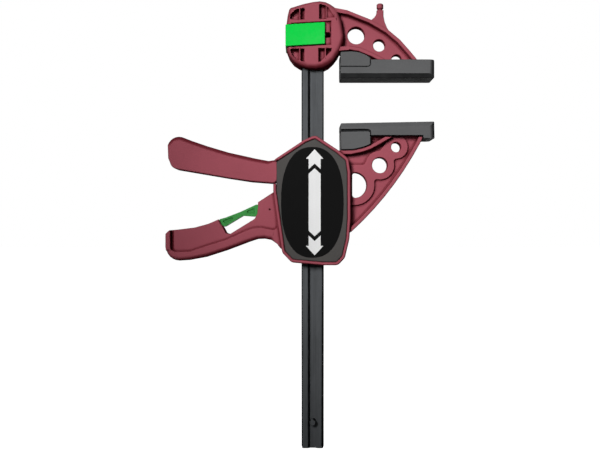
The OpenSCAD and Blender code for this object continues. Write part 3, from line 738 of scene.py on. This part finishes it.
def dress_node(node, material, bevel=0.0):
    """Keeps a CAD node and gives it a finish, with small rounded edges where bevel isn't 0."""
    piece = NODES[node]
    piece.data.materials.clear()
    piece.data.materials.append(the_material(material))
    join = piece.modifiers.new("Join", "WELD")
    join.merge_threshold = SAME_POINT
    if bevel:
        planar = piece.modifiers.new("Whole faces", "DECIMATE")
        planar.decimate_type = "DISSOLVE"
        planar.angle_limit = math.radians(1)
        soft = piece.modifiers.new("Edges", "BEVEL")
        soft.width = bevel
        soft.segments = 2
        soft.limit_method = "ANGLE"
        soft.angle_limit = math.radians(40)


def body_of(node):
    return NODES[node]["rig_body"]


def rounded_node(node, material, radius, segments=3, where=None):
    """Puts a rounded copy of a node in its place."""
    bm = cad_shape(node)
    round_edges(bm, radius, segments, where=where)
    make_piece(bm, node + "_moulding", body_of(node), material, [node])


def squeezed_spring(node):
    """Puts a copy of a spring's coil in its place, on a mesh of its own."""
    coil = cad_shape(node, SAME_POINT)
    piece = make_piece(coil, node + "_coil", body_of(node), "bright steel", [node])
    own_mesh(piece)


# ---- Operators: one for each piece or group of like pieces ----

class CLAMP_OT_bar(bpy.types.Operator):
    """Round the bar's rolled edges and finish its stop pin"""
    bl_idname = "clamp.bar"
    bl_label = "Bar and Stop Pin"

    def execute(self, context):
        radius = context.scene.clamp_steel.bar_edge
        low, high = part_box("bar")
        centre = (low.x + high.x) / 2

        def along(edge):
            """Whether an edge runs up one of the bar's two sides."""
            first, second = edge.verts
            outer = min(abs(vert.co.x - centre) for vert in edge.verts) > high.x - centre - 1 * MM
            return outer and abs(first.co.z - second.co.z) > 0.7 * edge.calc_length()

        bm = cad_shape("bar")
        for vert in bm.verts:
            if abs(vert.co.y) < high.y - 0.5 * MM:
                vert.co.y *= GROOVE_SHARE
        join_flat_faces(bm)
        round_edges(bm, radius, 6, least=60.0, where=along, whole=True)
        make_piece(bm, "drawn_bar", body_of("bar"), "bar steel", ["bar"], smooth_angle=20.0)
        dress_node("end_stop_pin", "bar steel", PIN_EDGE)
        return {"FINISHED"}


class CLAMP_OT_fixed_jaw(bpy.types.Operator):
    """Model the fixed jaw as a moulding with rounded edges"""
    bl_idname = "clamp.fixed_jaw"
    bl_label = "Fixed Jaw"

    def execute(self, context):
        radius = context.scene.clamp_plastics.edge
        rounded_node("fixed_jaw", "maroon moulding", radius, where=rim)
        return {"FINISHED"}


class CLAMP_OT_head_lock(bpy.types.Operator):
    """Model the head lock button, and finish its pin and spring"""
    bl_idname = "clamp.head_lock"
    bl_label = "Head Lock"

    def execute(self, context):
        rounded_node("head_lock_button", "green button", BUTTON_EDGE)
        dress_node("head_lock_pin", "bright steel")
        squeezed_spring("head_lock_spring")
        return {"FINISHED"}


class CLAMP_OT_carriage(bpy.types.Operator):
    """Model the carriage with its jaw and grip as one moulding"""
    bl_idname = "clamp.carriage"
    bl_label = "Carriage"

    def execute(self, context):
        plastics = context.scene.clamp_plastics
        low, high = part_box("carriage_body")
        bm = cad_shape("carriage_body")

        def bead(edge):
            """Whether an edge runs round the carriage's rim, where it comes furthest out."""
            return rim(edge) and abs(edge.verts[0].co.y) > high.y - ON_FACE

        def finger_side(edge):
            """Whether an edge lies along the underside of the grip's flanges."""
            first, second = edge.verts
            on_grip = abs(first.co.y) > GRIP_FACE and max(first.co.x, second.co.x) < GRIP_ROOT
            return on_grip and rim(edge, FULL_WALL) and wall_beside(edge).normal.z < -0.3

        field = low.x + GRIP_END
        for x in (field - FIELD_SLOPE, field):
            cut_floor(bm, GRIP_WEB, x)
        shift_depth(bm, GRIP_WEB, GRIP_FIELD, where=lambda point: field - ON_FACE < point.x < GRIP_ROOT)
        shift_depth(bm, GRIP_WEB, GRIP_GROOVE, where=lambda point: point.x < field)
        round_edges(bm, plastics.hand_edge, 5, where=finger_side)
        round_edges(bm, plastics.bead, 4, where=bead)
        round_edges(bm, plastics.edge, 3, where=lambda edge: rim(edge) and not bead(edge))
        make_piece(bm, "carriage_moulding", body_of("carriage_body"), "maroon moulding",
                   ["carriage_body"])
        return {"FINISHED"}


class CLAMP_OT_covers(bpy.types.Operator):
    """Model the front and rear covers"""
    bl_idname = "clamp.covers"
    bl_label = "Covers"

    def execute(self, context):
        radius = context.scene.clamp_plastics.bead
        for node in ("front_cover", "rear_cover"):
            low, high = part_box(node)
            face = max(-low.y, high.y)
            rounded_node(node, "cover moulding", radius,
                         where=lambda edge: all(abs(vert.co.y) > face - ON_FACE for vert in edge.verts))
        return {"FINISHED"}


class CLAMP_OT_labels(bpy.types.Operator):
    """Finish the labels and print the double arrow on each"""
    bl_idname = "clamp.labels"
    bl_label = "Labels"

    def execute(self, context):
        label = context.scene.clamp_label
        for node, side in (("front_label", FRONT), ("rear_label", REAR)):
            rounded_node(node, "label film", FILM_EDGE, 2)
            low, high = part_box(node)
            face = low.y if side == FRONT else high.y
            centre = Vector(((low.x + high.x) / 2 + ARROW_OFFSET, 0, (low.z + high.z) / 2))
            bm = double_arrow(label, centre)
            thicken(bm, face - side * INK_DEPTH, face + side * INK_HEIGHT)
            make_piece(bm, node + "_arrow", body_of(node), "label ink")
        return {"FINISHED"}


def double_arrow(label, centre):
    """Two arrow heads and a shaft, parted by two chevron gaps, as flat faces."""
    half, wing, tip = label.shaft / 2, label.head / 2, label.length / 2
    root = tip - 7.6 * MM               # where a head's barbs end
    top = tip - 19.5 * MM               # where the shaft ends, at its sides
    neck = top + 3.7 * MM               # where a head begins, at its sides, past the gap
    slant = 4.4 * MM                    # a chevron's point stands out by this
    shaft = [(0, top + slant), (-half, top), (-half, -top), (0, -top - slant), (half, -top), (half, top)]
    head = [(0, tip), (-wing, root), (-half, root), (-half, neck), (0, neck + slant), (half, neck),
            (half, root), (wing, root)]
    bm = bmesh.new()
    for outline in (shaft, head, [(x, -z) for x, z in head]):
        bm.faces.new([bm.verts.new(centre + Vector((x, 0, z))) for x, z in outline])
    return bm


class CLAMP_OT_pads(bpy.types.Operator):
    """Model the two jaw pads"""
    bl_idname = "clamp.pads"
    bl_label = "Jaw Pads"

    def execute(self, context):
        for node in ("fixed_jaw_pad", "moving_jaw_pad"):
            bm = cad_shape(node)
            if node == "moving_jaw_pad":
                _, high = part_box(node)
                panel = high.y - PANEL_STEP
                shift_depth(bm, panel, panel - SEAM)
            round_edges(bm, PAD_EDGE, where=long_edge)
            make_piece(bm, node + "_moulding", body_of(node), "soft pad", [node],
                       smooth_angle=14.0)
        return {"FINISHED"}


class CLAMP_OT_lever(bpy.types.Operator):
    """Model the squeeze lever, rounded fully where the palm rests"""
    bl_idname = "clamp.lever"
    bl_label = "Squeeze Lever"

    def execute(self, context):
        low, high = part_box("drive_lever")
        plastics = context.scene.clamp_plastics
        finger_edge = 1.6 * plastics.edge

        def radius(point, outward):
            """The hand edge on top of the handle, and the finger edge below it and at its root."""
            palm = ramp(outward.z, -0.25, 0.65) * ramp(GRIP_ROOT - point.x, 0, 6 * MM)
            return finger_edge + palm * (plastics.hand_edge - finger_edge)

        bm = soft_slab(section("drive_lever", LEVER_CUT), low.y, high.y, radius)
        make_piece(bm, "squeeze_lever", body_of("drive_lever"), "maroon lever",
                   ["drive_lever"])
        dress_node("lever_pivot_pin", "bright steel", PIN_EDGE)
        return {"FINISHED"}


class CLAMP_OT_trigger(bpy.types.Operator):
    """Model the release trigger"""
    bl_idname = "clamp.trigger"
    bl_label = "Release Trigger"

    def execute(self, context):
        bm = cad_shape("release_trigger")
        shift_depth(bm, TRIGGER_WEB, TRIGGER_FIELD)
        round_edges(bm, TRIGGER_EDGE)
        make_piece(bm, "release_trigger_moulding", body_of("release_trigger"),
                   "green trigger", ["release_trigger"])
        dress_node("release_pivot_pin", "black steel", PIN_EDGE)
        return {"FINISHED"}


class CLAMP_OT_drive(bpy.types.Operator):
    """Finish the steel plates and springs inside the carriage"""
    bl_idname = "clamp.drive"
    bl_label = "Drive and Brake"

    def execute(self, context):
        for node in ("drive_plate_a", "drive_plate_b", "brake_plate"):
            dress_node(node, "plate steel", PLATE_EDGE)
        squeezed_spring("drive_spring")
        dress_node("brake_spring", "bright steel")
        return {"FINISHED"}


class CLAMP_OT_stage(bpy.types.Operator):
    """Set up the camera, the lamps, the floor and the pale surroundings"""
    bl_idname = "clamp.stage"
    bl_label = "Stage"

    def execute(self, context):
        stage = context.scene.clamp_stage
        context.scene.view_settings.view_transform = "Standard"
        make_camera(stage)
        make_world(stage)
        make_lamps(stage)
        make_floor()
        return {"FINISHED"}


def make_camera(stage):
    camera = bpy.data.objects.new("Camera", bpy.data.cameras.new("Camera"))
    bpy.context.scene.collection.objects.link(camera)
    camera.data.lens = stage.lens
    camera.data.sensor_width = 36
    camera.location = (VIEW_X, -stage.distance, VIEW_Z)
    camera.rotation_euler = (math.radians(90), 0, 0)
    bpy.context.scene.camera = camera


def pale_rays(tree):
    """1 for the rays that see the surroundings directly, in gloss or through glass."""
    path = tree.nodes.new("ShaderNodeLightPath")
    seen = math_node(tree, "MAXIMUM", path.outputs["Is Camera Ray"], path.outputs["Is Glossy Ray"])
    return math_node(tree, "MAXIMUM", seen, path.outputs["Is Transmission Ray"])


def make_world(stage):
    world = bpy.data.worlds.new("Pale studio")
    world.use_nodes = True
    bpy.context.scene.world = world
    tree = world.node_tree
    background = tree.nodes["Background"]
    background.inputs["Color"].default_value = (1, 1, 1, 1)
    strength = remap(tree, pale_rays(tree), 0.0, 1.0, stage.ambient, 1.0)
    tree.links.new(strength, background.inputs["Strength"])


def soft_lamp(name, place, aim, size, spread, power):
    """A round soft box whose light falls off around its aim, over a spread in degrees."""
    lamp = bpy.data.objects.new(name, bpy.data.lights.new(name, "AREA"))
    lamp.data.shape = "DISK"
    lamp.data.size = size
    lamp.data.spread = math.radians(spread)
    lamp.data.energy = power
    lamp.location = place
    lamp.rotation_mode = "QUATERNION"
    lamp.rotation_quaternion = (Vector(aim) - lamp.location).to_track_quat("-Z", "Y")
    bpy.context.scene.collection.objects.link(lamp)


def make_lamps(stage):
    """A key in front, from the upper left, aimed at the jaws, and a wider lamp behind."""
    soft_lamp("Key", place=(-0.33, -0.75, 0.17), aim=(0.02, 0, -0.045), size=0.30, spread=44,
              power=stage.key)
    soft_lamp("Rear fill", place=(0.15, 0.75, 0.15), aim=(-0.05, 0, -0.10), size=0.5, spread=64,
              power=stage.fill)


def make_floor():
    """A pale floor under the bar's lower end, white where no shadow falls on it."""
    low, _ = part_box("bar")
    bm = bmesh.new()
    bmesh.ops.create_grid(bm, x_segments=1, y_segments=1, size=6.0)
    bmesh.ops.translate(bm, verts=bm.verts, vec=(0, 0, low.z - FLOOR_DROP))
    mesh = bpy.data.meshes.new("floor")
    bm.to_mesh(mesh)
    bm.free()
    floor = bpy.data.objects.new("floor", mesh)
    bpy.context.scene.collection.objects.link(floor)
    material, tree, shader = new_material("Floor", 0.0)
    seen = pale_rays(tree)
    grey = mix_colour(tree, seen, rgba((0.2, 0.2, 0.2)), rgba((0.8, 0.8, 0.8)))
    tree.links.new(grey, shader.inputs["Base Color"])
    shader.inputs["Roughness"].default_value = 0.9
    facing_away = tree.nodes.new("ShaderNodeNewGeometry").outputs["Backfacing"]
    tree.links.new(math_node(tree, "SUBTRACT", 1.0, facing_away), shader.inputs["Alpha"])
    shader.inputs["Emission Color"].default_value = (1, 1, 1, 1)
    glow = math_node(tree, "MULTIPLY", seen, FLOOR_GLOW)
    tree.links.new(glow, shader.inputs["Emission Strength"])
    mesh.materials.append(material)


# ---- Panel and registration ----

STEPS = (
    CLAMP_OT_bar, CLAMP_OT_fixed_jaw, CLAMP_OT_head_lock, CLAMP_OT_carriage, CLAMP_OT_covers,
    CLAMP_OT_labels, CLAMP_OT_pads, CLAMP_OT_lever, CLAMP_OT_trigger, CLAMP_OT_drive, CLAMP_OT_stage,
)


class CLAMP_PT_panel(bpy.types.Panel):
    """Steps and settings of the bar clamp"""
    bl_idname = "CLAMP_PT_panel"
    bl_label = "Bar Clamp"
    bl_space_type = "VIEW_3D"
    bl_region_type = "UI"
    bl_category = "Bar Clamp"

    def draw(self, context):
        layout = self.layout
        for step in STEPS:
            layout.operator(step.bl_idname)
        for name, group in SETTINGS.items():
            box = layout.box()
            box.label(text=group.__doc__)
            for setting in group.__annotations__:
                box.prop(getattr(context.scene, name), setting)


CLASSES = (*SETTINGS.values(), *STEPS, CLAMP_PT_panel)


def register():
    for cls in CLASSES:
        bpy.utils.register_class(cls)
    for name, group in SETTINGS.items():
        setattr(bpy.types.Scene, name, bpy.props.PointerProperty(type=group))


def unregister():
    for name in SETTINGS:
        delattr(bpy.types.Scene, name)
    for cls in reversed(CLASSES):
        bpy.utils.unregister_class(cls)


def main():
    register()
    for step in STEPS:
        area, _, name = step.bl_idname.partition(".")
        getattr(getattr(bpy.ops, area), name)()


if __name__ == "__main__":
    main()
